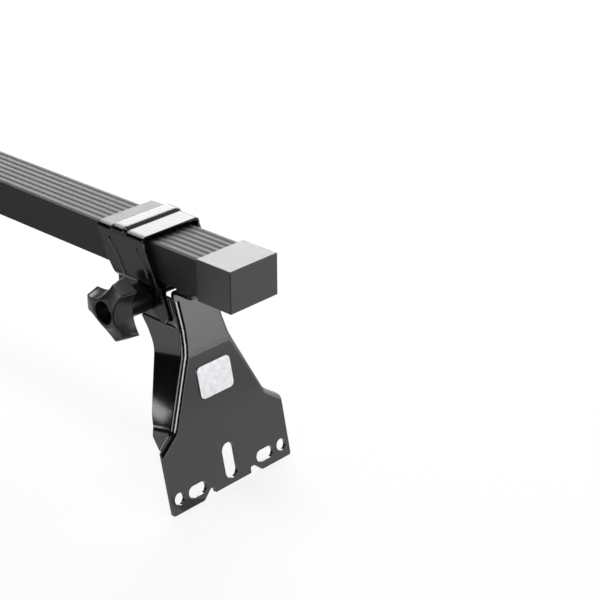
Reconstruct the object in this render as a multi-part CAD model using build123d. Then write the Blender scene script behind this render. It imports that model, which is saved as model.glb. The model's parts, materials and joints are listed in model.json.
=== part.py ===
from build123d import *
from math import cos, radians, sin, tan
import os

# Roof rack crossbar: a steel tube in a ribbed cover on two clamp-on feet.
# Millimetres, +X along the bar, +Z up. The origin is on the ground, midway
# between the feet. A foot is drawn for the +X end, with x = 0 at its clamp bolt.

# Crossbar
bar_length = 1200.0
tube_width = 30.0
tube_height = 20.0
tube_wall = 1.5
tube_corner = 1.6
cover_side = 1.0
cover_base = 0.5
cover_top = 0.4
cover_corner = 0.7
rib_count = 7
rib_height = 0.5
groove_width = 1.4

# End caps
cap_length = 24.8
cap_side = 1.3
cap_over = 1.1
cap_under = 1.5
cap_end = 2.5
cap_gap = 0.1
cap_edge = 0.6
plug_wall = 1.6
plug_length = 20.0
plug_corner = 1.0

# Foot bracket: one pressing. Heights along the plate are measured up its slope.
foot_sheet = 2.0
fold_inside = 1.5
bar_height = 118.4
bolt_inset = 66.0
plate_reach = 47.7
plate_tilt = 12.0
neck_tilt = 17.0
crease_drop = 38.7
crease_radius = 18.0
plate_half = 45.5
shoulder_out = 37.3
shoulder_half = 35.1
shoulder_in = 44.6
knee_half = 17.3
knee_drop = 34.4
neck_rise = 11.3
neck_inset = 0.4
plate_corner = 1.5
shoulder_radius = 10.0
knee_radius = 30.0

# Rear edge of the bracket's side walls, from the top down: distance from the bolt
# and drop below the bar, each with the radius of its corner
wall_top_back = -19.0
wall_edge = [(-5.5, 25.3, 40.0), (4.5, 38.3, 30.0), (17.6, 71.4, 9.0), (23.5, 79.4, 7.0)]

# Holes and notches of the plate
hole_diameter = 7.0
hole_spread = 39.3
hole_height = 8.2
slot_length = 13.0
slot_width = 7.0
slot_spread = 26.0
slot_height = 7.9
middle_slot_length = 21.0
middle_slot_width = 9.0
middle_slot_height = 14.8
middle_raise = 1.2
middle_half = 14.0
notch_height = 4.8
notch_top = 3.0
notch_slope = 5.5
notch_radii = [0.8, 1.0, 1.4, 1.5]

# Seat: the tab that carries the bar, its pad, and the relief beside it
tab_front = 34.0
tab_corner = 1.5
pad_thickness = 2.2
pad_inset = 1.2
pad_length = 9.0
pad_corner = 1.0
seat_gap = 0.2
relief_back = 12.0
relief_drop = 9.0

# Pockets pressed into the side walls for the clamp strap's tongues
pocket_drop = 24.7
pocket_front = 22.4
pocket_slope = 26.4
pocket_depth = 1.0

# Clamp strap. Its side outline runs round from the rear of the crown; each point
# is the distance from the bolt and the drop below the bar.
strap_sheet = 1.5
strap_fold = 1.9
strap_side_gap = 1.9
strap_sides = [(-32.3, -20.9), (-23.6, -2.6), (-20.9, 1.0), (-20.9, 10.4)]
strap_tongue = [(-11.0, 15.5), (5.6, 18.2), (14.8, 24.6), (18.3, 19.9)]
strap_nose = [(13.2, 7.0), (13.6, 1.0), (3.8, -20.9)]
tongue_round = 2.5
joggle_drop = 1.5
joggle_run = 2.8
crown_rib = (-21.6, -9.6)
crown_height = 1.5
crown_ramp = 2.0
bead_width = 2.0
bead_proud = 0.5
beads = [
    [(-22.7, -16.5), (-17.5, -10.6), (-11.6, -0.8)],
    [(-0.8, -15.6), (4.4, -9.9), (8.3, -2.5)],
]

# Clamp bolt, washers and knob
bolt_drop = 11.3
bolt_diameter = 6.0
bolt_clearance = 0.5
thread_gap = 0.05
bolt_head = 10.0
bolt_head_height = 4.0
bolt_chamfer = 0.75
bolt_tip_inset = 8.5
washer_diameter = 12.0
washer_thickness = 1.6
knob_front = 47.0
knob_back = 34.5
lobe_count = 3
first_lobe = 60.0
lobe_radius = 19.2
lobe_half_angle = 18.5
waist_radius = 9.9
lobe_corner = 2.6
knob_draft = 9.0
knob_flat = 7.2
knob_slope = 19.6
hub_diameter = 16.4
hub_chamfer = 1.2
recess_diameter = 13.0
recess_depth = 9.0
insert_flats = 10.0
insert_length = 6.0

# Badge plate, left bare
badge_width = 24.4
badge_height = 18.4
badge_corner = 3.0
badge_thickness = 0.7
badge_centre = 64.3

# Derived sizes
cover_width = tube_width + 2 * cover_side
cover_height = cover_base + tube_height + cover_top + rib_height
groove_level = bar_height + cover_height - rib_height
bar_top = bar_height + cover_height
bar_middle = bar_height + cover_base + tube_height / 2
cover_length = bar_length - 2 * cap_end
foot_station = bar_length / 2 - bolt_inset
crease_height = bar_height - crease_drop
knee_height = bar_height - knee_drop
neck_half = cover_width / 2 - neck_inset
bolt_height = bar_height - bolt_drop
wall_top = bar_height - seat_gap
tab_top = bar_height - pad_thickness
fold_outside = fold_inside + foot_sheet
fold_catch = foot_sheet / 4
pocket_half = neck_half - pocket_depth
tongue_half = pocket_half + strap_sheet
strap_half = cover_width / 2 + strap_side_gap + strap_sheet
strap_top = bar_top + strap_sheet
far_reach = 80.0
plate_out = Vector(cos(radians(plate_tilt)), 0, sin(radians(plate_tilt)))
plate_edge = foot_sheet * sin(radians(plate_tilt))
plate_plane = Plane(origin=(plate_reach, 0, plate_edge), x_dir=(0, 1, 0), z_dir=plate_out)


def rounded(sketch, corners):
    """Round the sketch's corner nearest to each (x, y) to its radius."""
    for x, y, radius in corners:
        corner = sketch.vertices().sort_by_distance(Vector(x, y))[0]
        sketch = fillet(corner, radius)
    return sketch


def outline(points, corners=()):
    """A flat face through the points, with the corners named rounded."""
    return rounded(make_face(Polyline(*points, close=True)), corners)


def side_view(sketch, half_width):
    """Extrude a sketch of x and z across the foot, to both sides of its middle."""
    return extrude(Plane.XZ * sketch, half_width, both=True)


def both_sides(part):
    return part + mirror(part, about=Plane.XZ)


def bar_tube():
    outer = RectangleRounded(tube_width, tube_height, tube_corner)
    inner = offset(outer, -tube_wall)
    return Plane.YZ * Pos(0, bar_middle) * extrude(outer - inner, cover_length / 2, both=True)


def cover_outline():
    """The cover's outside: straight sides and base, and a crest for every rib."""
    half = cover_width / 2
    pitch = (cover_width - 2 * cover_corner + groove_width) / rib_count
    crest = pitch - groove_width
    lines = [
        Line((-half, groove_level - cover_corner), (-half, bar_height)),
        Line((-half, bar_height), (half, bar_height)),
        Line((half, bar_height), (half, groove_level - cover_corner)),
        RadiusArc((half, groove_level - cover_corner), (half - cover_corner, groove_level), -cover_corner),
        RadiusArc((-half + cover_corner, groove_level), (-half, groove_level - cover_corner), -cover_corner),
    ]
    for rib in range(rib_count):
        start = -half + cover_corner + rib * pitch
        lines.append(
            ThreePointArc((start, groove_level), (start + crest / 2, bar_top), (start + crest, groove_level))
        )
        if rib < rib_count - 1:
            lines.append(Line((start + crest, groove_level), (start + pitch, groove_level)))
    return make_face(lines)


def bar_cover():
    inside = Pos(0, bar_middle) * RectangleRounded(tube_width, tube_height, tube_corner)
    return Plane.YZ * extrude(cover_outline() - inside, cover_length / 2, both=True)


def end_cap():
    """A socket that slides over the cover, with a hollow plug inside the tube."""
    low = bar_height - cap_under
    high = bar_top + cap_over
    width = cover_width + 2 * cap_side
    body = Pos(-cap_length / 2, 0, (low + high) / 2) * Box(cap_length, width, high - low)
    body = fillet(body.edges().filter_by(Axis.X) + body.edges().group_by(Axis.X)[-1], cap_edge)
    socket_height = cover_height + 2 * cap_gap
    socket = Pos(-cap_end - cap_length / 2, 0, bar_height + cover_height / 2) * Box(
        cap_length, cover_width + 2 * cap_gap, socket_height
    )
    less = 2 * (tube_wall + cap_gap)
    plug_outer = RectangleRounded(tube_width - less, tube_height - less, plug_corner)
    plug = extrude(plug_outer - offset(plug_outer, -plug_wall), -plug_length)
    plug = Pos(-cap_end, 0, 0) * (Plane.YZ * Pos(0, bar_middle) * plug)
    return Pos(bar_length / 2, 0, 0) * (body - socket + plug)


def web_front(depth, height, slope):
    """The point at a height on a line parallel to the web's lower or upper face."""
    lean = radians(slope)
    crease_x = plate_reach - (crease_height - plate_edge) * tan(radians(plate_tilt))
    return (crease_x - (height - crease_height) * tan(lean) - depth / cos(lean), height)


def crease_point(depth):
    """Where the web's two faces meet, at a depth behind its front."""
    low, high = radians(plate_tilt), radians(neck_tilt)
    reach = depth / cos((high - low) / 2)
    middle = (low + high) / 2
    front = web_front(0, crease_height, plate_tilt)
    return (front[0] - reach * cos(middle), front[1] - reach * sin(middle))


def web_region(depth, low, high):
    """Everything behind a line parallel to the web's front, between two heights."""
    corner = crease_point(depth)
    points = [
        web_front(depth, low, plate_tilt),
        corner,
        web_front(depth, high, neck_tilt),
        (-far_reach, high),
        (-far_reach, low),
    ]
    return outline(points, [(*corner, crease_radius + foot_sheet - depth)])


def foot_outline(inset):
    """The bracket seen square to its plate, drawn in by the inset."""
    half = [
        (middle_half, middle_raise),
        (middle_half, notch_height),
        (middle_half + notch_top, notch_height),
        (middle_half + notch_top + notch_slope, 0),
        (plate_half, 0),
        (plate_half, shoulder_out),
        (shoulder_half, shoulder_in),
        (knee_half, knee_height),
        (neck_half, knee_height + neck_rise),
        (neck_half, 2 * bar_height),
    ]
    radii = notch_radii + [plate_corner, 0, shoulder_radius, knee_radius, knee_radius, 0]
    points = half + [(-x, y) for x, y in reversed(half)]
    corners = [(side * x, y, r) for (x, y), r in zip(half, radii) if r for side in (1, -1)]
    face = outline(points, corners)
    return offset(face, -inset) if inset else face


def through_plate(sketch):
    """Extrude a sketch drawn on the plate square through the whole foot."""
    return extrude(plate_plane * sketch, far_reach, both=True)


def fold_edges(part, depth):
    """The edges where the web turns into the side walls, above the plate."""
    low = shoulder_out * cos(radians(plate_tilt))
    picked = ShapeList()
    for edge in part.edges():
        spot = edge.center()
        slope = plate_tilt if spot.Z < crease_height else neck_tilt
        on_front = abs(spot.X - web_front(depth, spot.Z, slope)[0]) < fold_catch
        if on_front and spot.Z > low and abs(spot.Y) > neck_half - depth - fold_catch:
            picked.append(edge)
    return picked


def wall_region():
    """What is left in front of the walls' rear edges and the plate's back."""
    shoulder = plate_edge + shoulder_out * cos(radians(plate_tilt))
    edge = [(x, bar_height - drop, radius) for x, drop, radius in wall_edge]
    points = [(far_reach, -foot_sheet), (far_reach, wall_top), (wall_top_back, wall_top)]
    points += [(x, z) for x, z, _ in edge]
    points += [
        web_front(foot_sheet, shoulder, plate_tilt),
        web_front(foot_sheet, -foot_sheet, plate_tilt),
    ]
    return outline(points, edge)


def pocket_region():
    """Side view of the pocket for the strap's tongue."""
    low = bar_height - pocket_drop
    bend = bar_height - relief_drop
    high = 2 * bar_height
    neck = pocket_front - (bend - low) * tan(radians(pocket_slope))
    return outline([(pocket_front, low), (neck, bend), (neck, high), (-far_reach, high), (-far_reach, low)])


def pocket_punch(region, inside, length):
    """A punch for the pocket on both sides, from a distance off the foot's middle outwards."""
    return both_sides(extrude(Plane.XZ.offset(inside) * region, length))


def foot_bracket():
    """One pressing: a plate and neck with side walls, a seat tab and a pocket each side."""
    block = side_view(web_region(0, -foot_sheet, wall_top), far_reach) & through_plate(foot_outline(0))
    block = fillet(fold_edges(block, 0), fold_outside)
    hollow = side_view(web_region(foot_sheet, -foot_sheet, 2 * bar_height), far_reach) & through_plate(
        foot_outline(foot_sheet)
    )
    hollow = fillet(fold_edges(hollow, foot_sheet), fold_inside)
    walls = side_view(wall_region(), far_reach)
    shell = (block & walls) - hollow
    behind_web = side_view(web_region(foot_sheet / 2, 0, wall_top), far_reach)
    around = offset(pocket_region(), foot_sheet, kind=Kind.INTERSECTION)
    pressed = pocket_punch(around, pocket_half - foot_sheet, foot_sheet)
    shell = shell + (pressed & walls & behind_web)
    shell = shell - pocket_punch(pocket_region(), pocket_half, plate_half)
    relief = Pos(relief_back + far_reach / 2, 0, bar_height - relief_drop + far_reach / 2)
    relief = relief * Box(far_reach, far_reach, far_reach)
    shell = shell - relief + (seat_tab() & relief)
    cuts = Sketch()
    for side in (1, -1):
        cuts += Pos(side * slot_spread, slot_height) * SlotOverall(slot_length, slot_width)
        cuts += Pos(side * hole_spread, hole_height) * Circle(hole_diameter / 2)
    cuts += Pos(0, middle_slot_height) * Rot(0, 0, 90) * SlotOverall(middle_slot_length, middle_slot_width)
    shell = shell - extrude(plate_plane * cuts, 2 * foot_sheet, both=True)
    return shell - bolt_passage()


def seat_tab():
    """The neck's upper end, as wide as the neck, folded outwards under the bar."""
    under = tab_top - foot_sheet
    start = web_front(0, bar_height - relief_drop - foot_sheet, neck_tilt)
    corner = web_front(0, under, neck_tilt)
    front = FilletPolyline(start, corner, (tab_front, under), radius=fold_inside)
    strip = make_face(offset(front, foot_sheet, side=Side.LEFT))
    tab = side_view(strip, neck_half)
    tips = tab.edges().filter_by(Axis.Z).group_by(Axis.X)[-1]
    return fillet(tips, tab_corner)


def bolt_passage():
    hole = Cylinder((bolt_diameter + bolt_clearance) / 2, 2 * far_reach, rotation=(90, 0, 0))
    return Pos(0, 0, bolt_height) * hole


def seat_pad():
    half = neck_half - pad_inset
    pad = extrude(RectangleRounded(pad_length, 2 * half, pad_corner), pad_thickness)
    return Pos(tab_front - pad_inset - pad_length / 2, 0, tab_top) * pad


def strap_outline():
    """Side view of the strap: crown, slanted legs and a tongue each side."""
    sides, tongue, nose = [
        [(x, bar_height - drop) for x, drop in part] for part in (strap_sides, strap_tongue, strap_nose)
    ]
    above = 2 * bar_height
    points = [(sides[0][0], above)] + sides + tongue + nose + [(nose[-1][0], above)]
    return outline(points, [(*corner, tongue_round) for corner in tongue])


def strap_section():
    """Cross-section of the strap: over the bar, then in to the tongues."""
    knee = bar_height - joggle_drop
    half = [
        (strap_half, strap_top),
        (strap_half, knee),
        (tongue_half, knee - joggle_run),
        (tongue_half, bar_height - pocket_drop),
    ]
    outside = FilletPolyline(*[(-y, z) for y, z in reversed(half)], *half, radius=strap_fold)
    return make_face(offset(outside, strap_sheet, side=Side.RIGHT))


def strap_crown():
    """The rib pressed up across the top of the strap."""
    rear, front = crown_rib
    root = strap_top - strap_sheet / 2
    top = strap_top + crown_height
    points = [(rear, root), (rear, strap_top), (rear + crown_ramp, top)]
    points += [(front - crown_ramp, top), (front, strap_top), (front, root)]
    return side_view(outline(points), strap_half - strap_fold / 2)


def strap_beads():
    """Two narrow beads down each leg."""
    raised = Part()
    for bead in beads:
        spine = ThreePointArc(*[(x, bar_height - drop) for x, drop in bead])
        face = Plane.XZ.offset(strap_half - strap_sheet / 2) * SlotArc(spine, bead_width)
        raised += extrude(face, strap_sheet / 2 + bead_proud)
    return both_sides(raised)


def clamp_strap():
    """Bent sheet over the bar: a ribbed crown, two beaded legs and two joggled tongues."""
    bent = extrude(Plane.YZ * strap_section(), far_reach, both=True)
    strap = bent & side_view(strap_outline(), far_reach)
    return strap + strap_crown() + strap_beads() - bolt_passage()


def washer():
    ring = Circle(washer_diameter / 2) - Circle((bolt_diameter + bolt_clearance) / 2)
    return extrude(Plane.XZ * Pos(0, bolt_height) * ring, washer_thickness)


def knob_washer():
    return Pos(0, -tongue_half, 0) * washer()


def bolt_washer():
    return Pos(0, tongue_half + washer_thickness, 0) * washer()


def clamp_bolt():
    seat = tongue_half + washer_thickness
    head = RegularPolygon(bolt_head / 2, 6, major_radius=False)
    head = Pos(0, seat + bolt_head_height, 0) * extrude(Plane.XZ * head, bolt_head_height)
    length = seat + knob_front - bolt_tip_inset
    shank = Pos(0, seat, 0) * extrude(Plane.XZ * Circle(bolt_diameter / 2), length)
    shank = chamfer(shank.edges().group_by(Axis.Y)[0], bolt_chamfer)
    return Pos(0, 0, bolt_height) * (head + shank)


def knob_outline():
    """Flat-ended lobes joined by shallow hollows, as at the back of the head."""
    lines = []
    for number in range(lobe_count):
        lobe = first_lobe + number * 360 / lobe_count
        following = lobe + 360 / lobe_count
        turns = [lobe - lobe_half_angle, lobe + lobe_half_angle, following - lobe_half_angle]
        ends = [(lobe_radius * cos(radians(turn)), lobe_radius * sin(radians(turn))) for turn in turns]
        waist = radians((lobe + following) / 2)
        hollow = (waist_radius * cos(waist), waist_radius * sin(waist))
        lines += [Line(ends[0], ends[1]), ThreePointArc(ends[1], hollow, ends[2])]
    face = make_face(lines)
    return fillet(face.vertices(), lobe_corner)


def clamp_knob():
    """A lobed head with drafted sides and a sunk front recess, on a round hub."""
    head_plane = Plane.XZ.offset(knob_back)
    head = extrude(head_plane * knob_outline(), knob_front - knob_back, taper=knob_draft)
    rim_front = -knob_front + (lobe_radius - knob_flat) * tan(radians(knob_slope))
    dome = [(0, -knob_front), (knob_flat, -knob_front), (lobe_radius, rim_front), (lobe_radius, 0), (0, 0)]
    head = head & revolve(make_face(Polyline(*dome, close=True)), Axis.Y)
    hub_end = tongue_half + washer_thickness
    hub = extrude(Plane.XZ.offset(hub_end) * Circle(hub_diameter / 2), knob_back - hub_end)
    hub = chamfer(hub.edges().group_by(Axis.Y)[-1], hub_chamfer)
    recess = extrude(Plane.XZ.offset(knob_front - recess_depth) * Circle(recess_diameter / 2), recess_depth)
    bore = extrude(Plane.XZ * Circle((bolt_diameter + bolt_clearance) / 2), knob_front)
    body = head + hub - recess - bore - insert_body(insert_flats)
    return Pos(0, 0, bolt_height) * body


def insert_body(flats):
    depth = knob_front - recess_depth - insert_length
    return extrude(Plane.XZ.offset(depth) * RegularPolygon(flats / 2, 6, major_radius=False), insert_length)


def knob_insert():
    bore = extrude(Plane.XZ * Circle(bolt_diameter / 2 + thread_gap), knob_front)
    return Pos(0, 0, bolt_height) * (insert_body(insert_flats) - bore)


def badge_plate():
    face = Pos(0, badge_centre) * RectangleRounded(badge_width, badge_height, badge_corner)
    return extrude(plate_plane * face, badge_thickness)


os.makedirs("parts", exist_ok=True)
export_step(bar_tube(), "parts/bar_tube.step")
export_step(bar_cover(), "parts/bar_cover.step")

foot_parts = {
    "foot_bracket": foot_bracket(),
    "seat_pad": seat_pad(),
    "clamp_strap": clamp_strap(),
    "clamp_bolt": clamp_bolt(),
    "bolt_washer": bolt_washer(),
    "knob_washer": knob_washer(),
    "clamp_knob": clamp_knob(),
    "knob_insert": knob_insert(),
    "badge_plate": badge_plate(),
}
pieces = {name: Pos(foot_station, 0, 0) * part for name, part in foot_parts.items()}
pieces["end_cap"] = end_cap()
for name, part in pieces.items():
    export_step(part, f"parts/{name}_right.step")
    export_step(mirror(part, about=Plane.YZ), f"parts/{name}_left.step")
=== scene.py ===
import bpy
import math
from mathutils import Matrix, Vector
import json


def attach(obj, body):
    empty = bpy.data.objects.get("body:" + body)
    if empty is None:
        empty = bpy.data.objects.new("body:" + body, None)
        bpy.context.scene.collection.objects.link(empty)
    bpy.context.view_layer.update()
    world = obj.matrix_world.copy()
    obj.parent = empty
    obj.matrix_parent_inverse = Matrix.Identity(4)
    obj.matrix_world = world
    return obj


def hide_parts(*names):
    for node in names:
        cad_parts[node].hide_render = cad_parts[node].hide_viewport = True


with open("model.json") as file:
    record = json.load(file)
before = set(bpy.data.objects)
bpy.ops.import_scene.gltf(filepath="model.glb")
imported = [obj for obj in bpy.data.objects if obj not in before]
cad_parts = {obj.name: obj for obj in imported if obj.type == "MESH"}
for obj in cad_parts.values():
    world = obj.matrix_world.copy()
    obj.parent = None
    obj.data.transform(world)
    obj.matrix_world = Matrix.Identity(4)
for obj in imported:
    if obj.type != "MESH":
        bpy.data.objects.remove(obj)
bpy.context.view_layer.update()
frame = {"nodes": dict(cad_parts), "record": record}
sides = ["left", "right"]
mm = 0.001

# Camera, where the photo was taken from

camera = {
    "place": (1.1431, -0.5441, 0.4856),
    "forward": (-0.6181, 0.6581, -0.4300),
    "up": (-0.2922, 0.3154, 0.9028),
    "lens": 98.83,
    "sensor": 36,
}


def makeCamera():
    forward = Vector(camera["forward"]).normalized()
    right = forward.cross(Vector(camera["up"])).normalized()
    up = right.cross(forward)
    data = bpy.data.cameras.new("photoCamera")
    data.lens = camera["lens"]
    data.sensor_width = camera["sensor"]
    data.clip_start = 0.05
    data.clip_end = 50
    obj = bpy.data.objects.new("photoCamera", data)
    bpy.context.scene.collection.objects.link(obj)
    turn = Matrix((right, up, -forward)).transposed().to_4x4()
    obj.matrix_world = Matrix.Translation(camera["place"]) @ turn
    bpy.context.scene.camera = obj


makeCamera()
print("camera done")


# Studio: pale floor, soft panels, and the cards and mats that the black paint mirrors

studio = {
    "floorReach": 12.0,
    "floorColor": (0.9, 0.9, 0.9),
    "floorGlow": 0.85,     # share of the floor that shows plain white
    "fillStrength": 0.3,   # what the white world adds to the object's own colours
    "cardColor": (0.004, 0.004, 0.004),
    "matHeight": 0.001,
    "panels": [
        # name, place, aim, width, height, power
        ("topPanel", (-0.90, 1.58, 1.20), (0.58, 0.0, 0.14), 1.9, 1.4, 57),
        ("horizonPanel", (1.75, 1.05, 0.36), (0.58, 0.0, 0.12), 1.1, 0.66, 5.6),
        ("overheadPanel", (0.3, -0.1, 1.9), (0.3, 0.0, 0.1), 1.0, 0.5, 14),
    ],
    "cards": [
        # name, centre, reach, turn in degrees from +X, lower and upper edge, glow
        ("darkCurtain", (0.3, 0.0), 2.3, (160, 375), (0.002, 4.0), 0),
        ("frontStrip", (0.57, -0.02), 1.6, (313, 337), (0.02, 1.0), 11),
        ("sideStrip", (0.57, -0.02), 1.6, (249, 271), (0.02, 1.1), 4.5),
        ("bendStrip", (0.565, 0.0), 0.6, (12, 65), (0.003, 0.045), 3.4),
        ("shoulderStrip", (0.56, -0.04), 1.1, (186, 204), (0.42, 0.70), 1.3),
        ("patchStrip", (0.556, -0.030), 0.07, (212, 225), (0.049, 0.057), 5),
        ("rightStrip", (0.57, 0.02), 1.5, (64, 112), (0.01, 0.6), 2.4),
        ("rimStrip", (0.53, 0.0), 1.6, (150, 212), (1.45, 2.3), 7),
    ],
    "mats": [
        # name, centre, reach, turn, glow; these lie on the floor
        ("cornerMat", (0.60, -0.06), 1.2, (256, 350), 0),
        ("barMat", (0.62, -0.02), 2.2, (182, 206), 0.42),
        ("plateMat", (0.565, -0.05), 0.30, (0, 88), 1.22),
    ],
}


def newMaterial(name):
    mat = bpy.data.materials.new(name)
    mat.use_nodes = True
    return mat, mat.node_tree.nodes, mat.node_tree.links, mat.node_tree.nodes["Principled BSDF"]


def newPiece(name, verts, faces):
    mesh = bpy.data.meshes.new(name)
    mesh.from_pydata(verts, [], faces)
    mesh.validate()
    piece = bpy.data.objects.new(name, mesh)
    bpy.context.scene.collection.objects.link(piece)
    return piece


def newMath(nodes, operation):
    node = nodes.new("ShaderNodeMath")
    node.operation = operation
    return node


def seenDirectly(nodes, links):
    # 1 for the camera and for mirrored and refracted rays, 0 for the rest
    path = nodes.new("ShaderNodeLightPath")
    first = newMath(nodes, "MAXIMUM")
    second = newMath(nodes, "MAXIMUM")
    links.new(path.outputs["Is Camera Ray"], first.inputs[0])
    links.new(path.outputs["Is Glossy Ray"], first.inputs[1])
    links.new(first.outputs[0], second.inputs[0])
    links.new(path.outputs["Is Transmission Ray"], second.inputs[1])
    return second.outputs[0]


def makeFloor():
    reach = studio["floorReach"]
    corners = [(-reach, -reach, 0), (reach, -reach, 0), (reach, reach, 0), (-reach, reach, 0)]
    floor = newPiece("floor", corners, [(0, 1, 2, 3)])
    mat, nodes, links, shader = newMaterial("floorPaper")
    shader.inputs["Base Color"].default_value = (*studio["floorColor"], 1)
    shader.inputs["Roughness"].default_value = 0.9
    shader.inputs["Specular IOR Level"].default_value = 0.0
    glow = nodes.new("ShaderNodeEmission")
    share = newMath(nodes, "MULTIPLY")
    share.inputs[1].default_value = studio["floorGlow"]
    links.new(seenDirectly(nodes, links), share.inputs[0])
    mix = nodes.new("ShaderNodeMixShader")
    links.new(share.outputs[0], mix.inputs["Fac"])
    links.new(shader.outputs[0], mix.inputs[1])
    links.new(glow.outputs[0], mix.inputs[2])
    links.new(mix.outputs[0], nodes["Material Output"].inputs["Surface"])
    floor.data.materials.append(mat)


def arc(centre, reach, turn, steps=32):
    start, end = turn
    for i in range(steps + 1):
        angle = math.radians(start + (end - start) * i / steps)
        yield centre[0] + reach * math.cos(angle), centre[1] + reach * math.sin(angle)


def makeCard(name, verts, faces, glow):
    # a sheet of paper that only mirrors show, dark or glowing
    card = newPiece(name, verts, faces)
    mat, nodes, links, shader = newMaterial(name + "Paper")
    shader.inputs["Base Color"].default_value = (*studio["cardColor"], 1)
    shader.inputs["Specular IOR Level"].default_value = 0.0
    if glow:
        shader.inputs["Emission Color"].default_value = (1, 1, 1, 1)
        shader.inputs["Emission Strength"].default_value = glow
    card.data.materials.append(mat)
    card.visible_camera = False
    card.visible_diffuse = False
    card.visible_shadow = False


def makeCards():
    for name, centre, reach, turn, edges, glow in studio["cards"]:
        verts = [(x, y, z) for x, y in arc(centre, reach, turn) for z in edges]
        faces = [(i, i + 2, i + 3, i + 1) for i in range(0, len(verts) - 2, 2)]
        makeCard(name, verts, faces, glow)
    height = studio["matHeight"]
    for name, centre, reach, turn, glow in studio["mats"]:
        rim = [(x, y, height) for x, y in arc(centre, reach, turn)]
        faces = [(0, i, i + 1) for i in range(1, len(rim))]
        makeCard(name, [(*centre, height)] + rim, faces, glow)


def makeLights():
    for name, place, aim, width, height, power in studio["panels"]:
        data = bpy.data.lights.new(name, "AREA")
        data.shape = "RECTANGLE"
        data.size = width
        data.size_y = height
        data.energy = power
        obj = bpy.data.objects.new(name, data)
        bpy.context.scene.collection.objects.link(obj)
        obj.location = place
        obj.rotation_mode = "QUATERNION"
        obj.rotation_quaternion = (Vector(aim) - Vector(place)).to_track_quat("-Z", "Y")
        obj.visible_camera = False


def makeWorld():
    world = bpy.data.worlds.new("studio")
    bpy.context.scene.world = world
    world.use_nodes = True
    nodes, links = world.node_tree.nodes, world.node_tree.links
    strength = nodes.new("ShaderNodeMapRange")
    strength.inputs["To Min"].default_value = studio["fillStrength"]
    links.new(seenDirectly(nodes, links), strength.inputs["Value"])
    nodes["Background"].inputs["Color"].default_value = (1, 1, 1, 1)
    links.new(strength.outputs["Result"], nodes["Background"].inputs["Strength"])
    bpy.context.scene.view_settings.view_transform = "Standard"


makeFloor()
makeCards()
makeLights()
makeWorld()
print("studio done")


# Finishes, one for each material slot; lengths are in millimetres, and clouds,
# wear and grain are noise scales, where more is finer

looks = {
    "bracket_paint": {
        "name": "bracketPaint",
        "dark": (0.003, 0.003, 0.0033),
        "light": (0.006, 0.006, 0.0065),
        "clouds": 35,
        "rough": (0.1, 0.16),
        "wear": 60,
        "grain": 700,
        "grainDetail": 2,
        "grainShare": 0.06,
        "grainDepth": 0.4,
        "gloss": 0.62,
        "paintedHighlight": (0.16, 0.16, 0.165),     # painted highlight: paler colour on the narrow ledges, in place of their reflection
        "highlightFacing": (0.86, 0.97),      # how far a ledge looks up where the painted highlight starts and is full
    },
    "strap_paint": {
        "name": "strapPaint",
        "dark": (0.003, 0.003, 0.0033),
        "light": (0.006, 0.006, 0.0065),
        "clouds": 35,
        "rough": (0.1, 0.16),
        "wear": 60,
        "grain": 700,
        "grainDetail": 2,
        "grainShare": 0.2,
        "grainDepth": 0.4,
        "gloss": 0.3,
        "matter": 0.26,                  # added to the roughness on the rear of the strap's top
        "matterFacing": (0.97, 0.995),
        "matterEdge": 512,               # from the bar's middle
        "matterBlend": 0.4,
    },
    "cover_plastic": {
        "name": "coverPlastic",
        "dark": (0.006, 0.006, 0.0063),
        "light": (0.010, 0.010, 0.0103),
        "clouds": 120,
        "rough": (0.5, 0.56),
        "wear": 90,
        "grain": 2200,
        "grainShare": 0.1,
        "grainDepth": 0.3,
        "gloss": 0.3,
    },
    "cap_plastic": {
        "name": "capPlastic",
        "dark": (0.008, 0.008, 0.0084),
        "light": (0.0125, 0.0125, 0.0129),
        "clouds": 120,
        "rough": (0.31, 0.36),
        "wear": 90,
        "grain": 2600,
        "grainShare": 0.4,
        "grainDepth": 0.3,
    },
    "seat_rubber": {
        "name": "seatRubber",
        "dark": (0.014, 0.014, 0.014),
        "light": (0.02, 0.02, 0.02),
        "clouds": 120,
        "rough": (0.6, 0.75),
        "wear": 90,
        "grain": 1800,
        "grainShare": 0.3,
        "grainDepth": 0.3,
    },
    "knob_plastic": {
        "name": "knobPlastic",
        "dark": (0.004, 0.004, 0.0043),
        "light": (0.007, 0.007, 0.0073),
        "clouds": 120,
        "rough": (0.27, 0.3),
        "wear": 90,
        "grain": 2600,
        "grainShare": 0.05,
        "grainDepth": 0.3,
        "gloss": 0.36,
    },
    "fastener_steel": {
        "name": "blackZinc",
        "dark": (0.05, 0.05, 0.055),
        "light": (0.09, 0.09, 0.095),
        "clouds": 500,
        "rough": (0.3, 0.4),
        "wear": 400,
        "grain": 1500,
        "grainShare": 0.05,
        "grainDepth": 0.2,
        "metallic": 1.0,
    },
    "tube_steel": {
        "name": "tubeSteel",
        "dark": (0.45, 0.46, 0.47),
        "light": (0.6, 0.61, 0.62),
        "clouds": 500,
        "rough": (0.3, 0.45),
        "wear": 400,
        "grain": 1500,
        "grainShare": 0.05,
        "grainDepth": 0.2,
        "metallic": 1.0,
    },
    "insert_brass": {
        "name": "insertBrass",
        "dark": (0.10, 0.07, 0.03),
        "light": (0.17, 0.12, 0.05),
        "clouds": 500,
        "rough": (0.4, 0.55),
        "wear": 400,
        "grain": 1500,
        "grainShare": 0.05,
        "grainDepth": 0.2,
        "metallic": 1.0,
    },
    "badge_face": {
        "name": "badgeFoil",
        "dark": (0.47, 0.475, 0.49),
        "light": (0.62, 0.625, 0.64),
        "clouds": 420,
        "rough": (0.22, 0.4),
        "wear": 700,
        "grain": 900,
        "grainShare": 0.15,
        "grainDepth": 0.3,
        "metallic": 0.8,
    },
}


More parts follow.
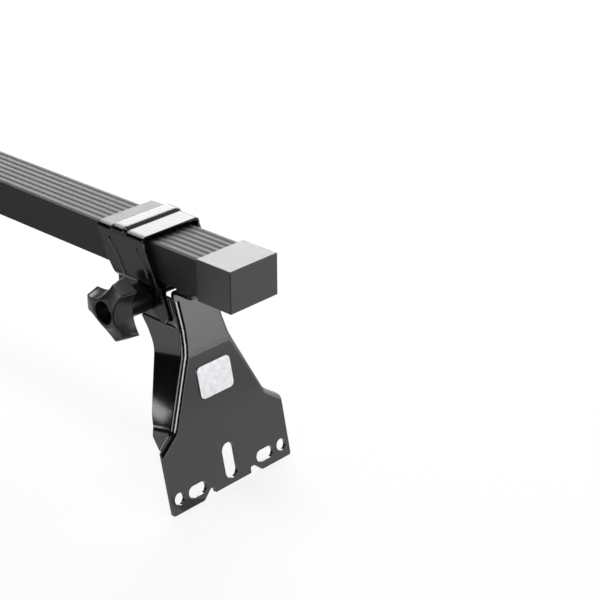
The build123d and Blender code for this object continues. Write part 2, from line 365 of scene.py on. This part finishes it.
def noise(nodes, links, scale, detail=4):
    coords = nodes.new("ShaderNodeTexCoord")
    texture = nodes.new("ShaderNodeTexNoise")
    texture.inputs["Scale"].default_value = scale
    texture.inputs["Detail"].default_value = detail
    links.new(coords.outputs["Object"], texture.inputs["Vector"])
    return texture.outputs["Fac"]


def ranged(nodes, links, value, toMin, toMax, fromMin=0.0, fromMax=1.0):
    span = nodes.new("ShaderNodeMapRange")
    span.inputs["From Min"].default_value = fromMin
    span.inputs["From Max"].default_value = fromMax
    span.inputs["To Min"].default_value = toMin
    span.inputs["To Max"].default_value = toMax
    links.new(value, span.inputs["Value"])
    return span.outputs["Result"]


def cloudyColor(nodes, links, look):
    ramp = nodes.new("ShaderNodeValToRGB")
    ramp.color_ramp.elements[0].position = 0.3
    ramp.color_ramp.elements[0].color = (*look["dark"], 1)
    ramp.color_ramp.elements[1].position = 0.7
    ramp.color_ramp.elements[1].color = (*look["light"], 1)
    links.new(noise(nodes, links, look["clouds"]), ramp.inputs["Fac"])
    return ramp.outputs["Color"]


def wornRoughness(nodes, links, look):
    return ranged(nodes, links, noise(nodes, links, look["wear"]), *look["rough"])


def grainNormal(nodes, links, look):
    bump = nodes.new("ShaderNodeBump")
    bump.inputs["Strength"].default_value = look["grainShare"]
    bump.inputs["Distance"].default_value = look["grainDepth"] * mm
    links.new(noise(nodes, links, look["grain"], look.get("grainDetail", 4)), bump.inputs["Height"])
    return bump.outputs["Normal"]


def upwardShare(nodes, links, facing, full=1.0):
    # rises from 0 to full as the surface turns to look up
    coords = nodes.new("ShaderNodeTexCoord")
    normal = nodes.new("ShaderNodeSeparateXYZ")
    links.new(coords.outputs["Normal"], normal.inputs[0])
    return ranged(nodes, links, normal.outputs["Z"], 0.0, full, *facing)


def paintedHighlightColor(nodes, links, look, color):
    # painted highlight: a paler colour on the narrow ledges that look straight up, standing in for
    # their reflection
    highlightMix = nodes.new("ShaderNodeMix")
    highlightMix.data_type = "RGBA"
    links.new(upwardShare(nodes, links, look["highlightFacing"]), highlightMix.inputs["Factor"])
    links.new(color, highlightMix.inputs["A"])
    highlightMix.inputs["B"].default_value = (*look["paintedHighlight"], 1)
    return highlightMix.outputs["Result"]


def matterToRear(nodes, links, look, roughness):
    # rougher on the strap's flat top, on the side that faces the bar's middle
    coords = nodes.new("ShaderNodeTexCoord")
    place = nodes.new("ShaderNodeSeparateXYZ")
    links.new(coords.outputs["Object"], place.inputs[0])
    reach = newMath(nodes, "ABSOLUTE")
    links.new(place.outputs["X"], reach.inputs[0])
    edge, blend = look["matterEdge"] * mm, look["matterBlend"] * mm
    zone = ranged(nodes, links, reach.outputs[0], 0.0, 1.0, edge + blend, edge - blend)
    total = newMath(nodes, "MULTIPLY_ADD")
    links.new(zone, total.inputs[0])
    links.new(upwardShare(nodes, links, look["matterFacing"], look["matter"]), total.inputs[1])
    links.new(roughness, total.inputs[2])
    return total.outputs[0]


def newFinish(look):
    mat, nodes, links, shader = newMaterial(look["name"])
    color = cloudyColor(nodes, links, look)
    # painted highlight on the ledges that look up
    if "paintedHighlight" in look:
        color = paintedHighlightColor(nodes, links, look, color)
    roughness = wornRoughness(nodes, links, look)
    if "matter" in look:
        roughness = matterToRear(nodes, links, look, roughness)
    links.new(color, shader.inputs["Base Color"])
    links.new(roughness, shader.inputs["Roughness"])
    links.new(grainNormal(nodes, links, look), shader.inputs["Normal"])
    shader.inputs["Metallic"].default_value = look.get("metallic", 0.0)
    shader.inputs["Specular IOR Level"].default_value = look.get("gloss", 0.5)
    return mat


finishes = {slot: newFinish(look) for slot, look in looks.items()}
slotOf = {sub["node"]: sub["material_slot"] for sub in frame["record"]["subparts"]}
for name, node in frame["nodes"].items():
    node.data.materials.clear()
    node.data.materials.append(finishes[slotOf[name]])
print("finishes done")


# Softened sheet edges on the solid brackets

bracket = {
    "edge": 0.35,      # millimetres, as is the weld
    "edgeSteps": 3,
    "sharper": 32,     # degrees between faces; flatter ones stay as they are
    "weld": 0.01,
    "flat": 0.5,       # degrees within which small faces become one
}


def addModifier(piece, kind, **settings):
    mod = piece.modifiers.new(kind.lower(), kind)
    for key, value in settings.items():
        setattr(mod, key, value)


def softenEdges(piece, width, steps, sharper):
    addModifier(piece, "BEVEL", width=width * mm, segments=steps,
                limit_method="ANGLE", angle_limit=math.radians(sharper))


for side in sides:
    node = frame["nodes"]["foot_bracket_" + side]
    addModifier(node, "WELD", merge_threshold=bracket["weld"] * mm)
    addModifier(node, "DECIMATE", decimate_type="DISSOLVE", angle_limit=math.radians(bracket["flat"]))
    softenEdges(node, bracket["edge"], bracket["edgeSteps"], bracket["sharper"])
    addModifier(node, "WEIGHTED_NORMAL", keep_sharp=False)
print("edges done")


# Shared mesh helpers; sizes below are in millimetres, in the foot's own frame:
# x from the clamp bolt along the bar, drop below the bar's underside

foot = {
    "station": 534.0,
    "barUnderside": 118.4,
    "boltDrop": 11.3,
}


def roundedPath(points, radius, steps=5):
    path = [Vector(points[0])]
    for before, corner, after in zip(points, points[1:], points[2:]):
        before, corner, after = Vector(before), Vector(corner), Vector(after)
        back, ahead = before - corner, after - corner
        reach = min(radius, 0.45 * back.length, 0.45 * ahead.length)
        start, end = corner + back.normalized() * reach, corner + ahead.normalized() * reach
        for i in range(steps + 1):
            t = i / steps
            path.append(start * (1 - t) ** 2 + corner * 2 * t * (1 - t) + end * t ** 2)
    path.append(Vector(points[-1]))
    return path


def evenly(path, count):
    lengths = [0.0]
    for a, b in zip(path, path[1:]):
        lengths.append(lengths[-1] + (b - a).length)
    spots, k = [], 0
    for i in range(count):
        want = lengths[-1] * i / (count - 1)
        while k < len(path) - 2 and lengths[k + 1] < want:
            k += 1
        span = lengths[k + 1] - lengths[k]
        t = (want - lengths[k]) / span if span else 0
        spots.append(path[k].lerp(path[k + 1], t))
    return spots


def smoothStep(value, low, high):
    t = min(1, max(0, (value - low) / (high - low)))
    return t * t * (3 - 2 * t)


def along(points, value):
    # the first number of each pair, read off at a value of the second
    for (x0, d0), (x1, d1) in zip(points, points[1:]):
        if value <= d1:
            t = 0 if d1 == d0 else max(0, (value - d0) / (d1 - d0))
            return x0 + (x1 - x0) * t
    return points[-1][0]


def placed(side, x, y, drop):
    sign = 1 if side == "right" else -1
    return (sign * (foot["station"] + x) * mm, y * mm, (foot["barUnderside"] - drop) * mm)


def turned(side, quad):
    # the left foot mirrors the right one, so its faces run the other way round
    return quad if side == "right" else quad[::-1]


def dressNode(piece, body, node, slot):
    for face in piece.data.polygons:
        face.use_smooth = True
    piece.data.materials.append(finishes[slot])
    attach(piece, body)
    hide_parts(node)


# Clamp strap: bent sheet with a ribbed crown, two soft beads a leg, joggled tongues

strap = {
    "sheet": 1.5,
    "half": 19.4,               # from the foot's middle to the leg's outside
    "tongueHalf": 16.1,
    "top": -22.9,               # a drop, so above the bar's underside
    "foldRadius": 1.9,
    "joggle": (1.5, 4.3),       # drops between which the sheet steps in
    "tongueStart": 6.5,
    "rear": [(-32.3, -20.9), (-23.6, -2.6), (-20.9, 1.0), (-20.9, 10.4)],
    "front": [(3.8, -20.9), (13.6, 1.0), (13.2, 7.0)],
    "tongue": [(-20.9, 10.4), (-11.0, 15.5), (5.6, 18.2), (14.8, 24.6), (18.3, 19.9)],
    "tongueRound": 2.5,
    "noseRound": 2.0,
    "rib": (-21.6, -9.6),
    "ribHeight": 1.45,
    "ribRamp": 2.6,
    "ribSpread": 0.3,
    "ribFade": (0.05, 0.9),     # how the rib runs out over the fold, by how far the sheet looks up
    "beads": [
        [(-22.7, -16.5), (-17.5, -10.6), (-11.6, -0.8)],
        [(-0.8, -15.6), (4.4, -9.9), (8.3, -2.5)],
    ],
    "beadHeight": 0.5,
    "beadWidth": 1.0,
    "edge": 0.35,
    "edgeSteps": 3,
    "sharper": 60,              # degrees
    "columns": 73,
    "rows": 120,
    "tongueRows": 12,
}


def beadSpot(bead, t):
    # on the curve through the bead's three points
    (x0, d0), (x1, d1), (x2, d2) = bead
    first, middle, last = (1 - t) ** 2, t * (1 - t), t ** 2
    x = x0 * first + (4 * x1 - x0 - x2) * middle + x2 * last
    drop = d0 * first + (4 * d1 - d0 - d2) * middle + d2 * last
    return x, drop


def beadRise(x, drop):
    rise = 0
    for spots in beadCurves:
        gap = min(math.hypot(x - beadX, drop - beadDrop) for beadX, beadDrop in spots)
        rise = max(rise, strap["beadHeight"] * math.exp(-(gap / strap["beadWidth"]) ** 2))
    return rise


def ribRise(x):
    rear, front = strap["rib"]
    ramp, spread = strap["ribRamp"], strap["ribSpread"]
    up = smoothStep(x, rear - spread, rear - spread + ramp)
    down = 1 - smoothStep(x, front - ramp, front + spread)
    return strap["ribHeight"] * up * down


def strapSection():
    # one half of the section, from the top's middle to the tongue: y, drop and the way out
    knee, heel = strap["joggle"]
    corners = [
        (0, strap["top"]),
        (strap["half"], strap["top"]),
        (strap["half"], knee),
        (strap["tongueHalf"], heel),
        (strap["tongueHalf"], strap["tongueStart"]),
    ]
    dense = evenly(roundedPath(corners, strap["foldRadius"], 7), strap["rows"])
    section = []
    for i, spot in enumerate(dense):
        ahead = dense[min(i + 1, len(dense) - 1)] - dense[max(i - 1, 0)]
        ahead.normalize()
        section.append((spot.x, spot.y, ahead.y, -ahead.x))
    return section


def strapLeg():
    # rows of the crown and one leg, with the rib and the beads raised
    count = strap["columns"]
    grid = []
    for y, drop, outY, outDrop in strapSection():
        line = []
        rear, front = along(strap["rear"], drop), along(strap["front"], drop)
        fold = smoothStep(max(0.0, min(1.0, -outDrop)), *strap["ribFade"])
        onLeg = y > strap["half"] - 1
        for c in range(count):
            x = rear + (front - rear) * c / (count - 1)
            rise = ribRise(x) * fold
            if onLeg:
                rise += beadRise(x, drop)
            line.append((x, y + outY * rise, drop + outDrop * rise))
        grid.append(line)
    return grid


def strapTongue(start):
    # rows blended from the leg's last row to the tongue's rounded lower edge
    count, steps = strap["columns"], strap["tongueRows"]
    upper = [Vector((x, drop)) for x, y, drop in start]
    lower = evenly(roundedPath(strap["tongue"], strap["tongueRound"]), count)
    rear = evenly([upper[0], Vector(strap["tongue"][0])], steps + 1)
    nose = [upper[-1], strap["front"][-1], strap["tongue"][-1]]
    front = evenly(roundedPath(nose, strap["noseRound"]), steps + 1)
    grid = []
    for r in range(1, steps + 1):
        w = r / steps
        line = []
        for c in range(count):
            u = c / (count - 1)
            across = rear[r] * (1 - u) + front[r] * u
            down = upper[c] * (1 - w) + lower[c] * w
            corner = (upper[0] * (1 - u) + upper[-1] * u) * (1 - w)
            corner += (lower[0] * (1 - u) + lower[-1] * u) * w
            spot = across + down - corner
            line.append((spot.x, strap["tongueHalf"], spot.y))
        grid.append(line)
    return grid


def makeStrap(side):
    count = strap["columns"]
    half = strapLeg()
    half += strapTongue(half[-1])
    full = [[(x, -y, drop) for x, y, drop in line] for line in reversed(half[1:])] + half
    verts = [placed(side, *spot) for line in full for spot in line]
    faces = []
    for r in range(len(full) - 1):
        for c in range(count - 1):
            a = r * count + c
            faces.append(turned(side, (a, a + count, a + count + 1, a + 1)))
    piece = newPiece("strap_" + side, verts, faces)
    addModifier(piece, "SOLIDIFY", thickness=strap["sheet"] * mm, offset=-1.0, use_even_offset=True)
    softenEdges(piece, strap["edge"], strap["edgeSteps"], strap["sharper"])
    dressNode(piece, "foot_" + side, "clamp_strap_" + side, "strap_paint")


beadCurves = [[beadSpot(bead, i / 24) for i in range(25)] for bead in strap["beads"]]
for side in sides:
    makeStrap(side)
print("straps done")


# Clamp knob: three drafted lobes round a deep front recess, on a short hub

knob = {
    "front": 47.0,              # along the bolt, from the foot's middle
    "back": 34.5,
    "hubEnd": 17.7,
    "lobes": (60, 180, 300),
    "lobeRadius": 19.2,
    "lobeHalfAngle": 18.5,
    "waist": 9.9,
    "draft": 9.0,               # degrees
    "cornerSoftness": 1.6,
    "flat": 7.2,                # radius within which the front is flat
    "slope": 19.6,              # degrees
    "hub": 8.2,
    "hubRim": ((0, 1.2), (0.1, 1.05), (1.1, 0.08), (1.4, 0)),       # forward, inward
    "hubRoot": ((0.5, 0), (0.15, 0.12), (0, 0.5)),                  # backward, outward
    "edge": 0.5,
    "rearEdge": ((0, 1), (0.13, 0.5), (0.5, 0.13), (1, 0)),         # in edges: forward, inward
    "frontEdge": ((1, 0), (0.45, 0.12), (0.1, 0.45), (0, 1)),       # in edges: backward, inward
    "frontShares": (0.33, 0.66, 1.0),                               # from the lobe's end to the recess
    "recess": 6.5,
    "recessEdge": 0.5,
    "recessRim": ((0.06, 0.25), (0.25, 0.06), (0.5, 0)),            # backward, outward
    "recessDepth": 9.0,
    "recessRound": 0.3,
    "bore": 3.25,
    "points": 240,
}
lobeDraft = math.tan(math.radians(knob["draft"]))
frontSlope = math.tan(math.radians(knob["slope"]))


def hollowCircle():
    # the arc between two lobe ends: distance of its centre, and its radius
    turn = math.radians(60 - knob["lobeHalfAngle"])
    px, py = knob["lobeRadius"] * math.cos(turn), knob["lobeRadius"] * math.sin(turn)
    waist = knob["waist"]
    centre = (px * px + py * py - waist * waist) / (2 * (px - waist))
    return centre, centre - waist


def lobedReach(turn, inset):
    # distance from the axis to the lobed outline, drawn in by the inset
    centre, radius = hollowCircle()
    radius += inset
    nearest = min(knob["lobes"], key=lambda lobe: abs((turn - lobe + 180) % 360 - 180))
    off = math.radians((turn - nearest + 180) % 360 - 180)
    end = (knob["lobeRadius"] * math.cos(math.radians(knob["lobeHalfAngle"])) - inset) / math.cos(off)
    gap = math.pi / 3 - abs(off)
    under = radius ** 2 - (centre * math.sin(gap)) ** 2
    if under <= 0:
        return end
    flank = centre * math.cos(gap) - math.sqrt(under)
    softness = knob["cornerSoftness"]
    blend = max(softness - abs(end - flank), 0) / softness
    return min(end, flank) - blend * blend * softness / 4


def frontAt(reach):
    # the head's front: flat in the middle, then sloping back
    return knob["front"] - max(0, reach - knob["flat"]) * frontSlope


def headDepth(turn):
    # how far forward this side of the head goes before the sloped front; settles in a few rounds
    depth = knob["front"] - knob["back"]
    for step in range(12):
        depth = frontAt(lobedReach(turn, depth * lobeDraft)) - knob["back"]
    return depth


def knobProfile(turn):
    # once round the wall at a turn, from the bore: distance along the bolt, and reach from it
    back, hub, hubEnd, edge = knob["back"], knob["hub"], knob["hubEnd"], knob["edge"]
    front, recess, bore = knob["front"], knob["recess"], knob["bore"]
    line = [(hubEnd, bore)]
    line += [(hubEnd + forward, hub - inward) for forward, inward in knob["hubRim"]]
    line += [(back - behind, hub + outward) for behind, outward in knob["hubRoot"]]
    for forward, inward in knob["rearEdge"]:
        line.append((back + edge * forward, lobedReach(turn, edge * (forward * lobeDraft + inward))))
    depth = headDepth(turn)
    line.append((back + depth / 2, lobedReach(turn, depth / 2 * lobeDraft)))
    for behind, inward in knob["frontEdge"]:
        spot = depth - edge * behind
        lean = edge * inward * frontSlope * (0.5 if behind else 1)
        line.append((back + spot + lean, lobedReach(turn, spot * lobeDraft) - edge * inward))
    outer, inner = line[-1][1], recess + knob["recessEdge"]
    for share in knob["frontShares"]:
        reach = outer + (inner - outer) * share
        line.append((frontAt(reach), reach))
    line += [(front - behind, recess + outward) for behind, outward in knob["recessRim"]]
    floor, corner = front - knob["recessDepth"], knob["recessRound"]
    line += [(floor + corner, recess), (floor, recess - corner), (floor, bore)]
    line.append(((front + hubEnd) / 2, bore))
    return line


def makeKnob(side):
    count = knob["points"]
    verts, faces = [], []
    for i in range(count):
        degrees = 360 * i / count
        turn = math.radians(degrees)
        for out, reach in knobProfile(degrees):
            x, drop = reach * math.cos(turn), foot["boltDrop"] - reach * math.sin(turn)
            verts.append(placed(side, x, -out, drop))
    rows = len(verts) // count
    for i in range(count):
        here, there = i * rows, (i + 1) % count * rows
        for r in range(rows):
            ahead = (r + 1) % rows
            faces.append(turned(side, (here + r, here + ahead, there + ahead, there + r)))
    piece = newPiece("knob_head_" + side, verts, faces)
    dressNode(piece, "knob_" + side, "clamp_knob_" + side, "knob_plastic")


for side in sides:
    makeKnob(side)
print("knobs done")
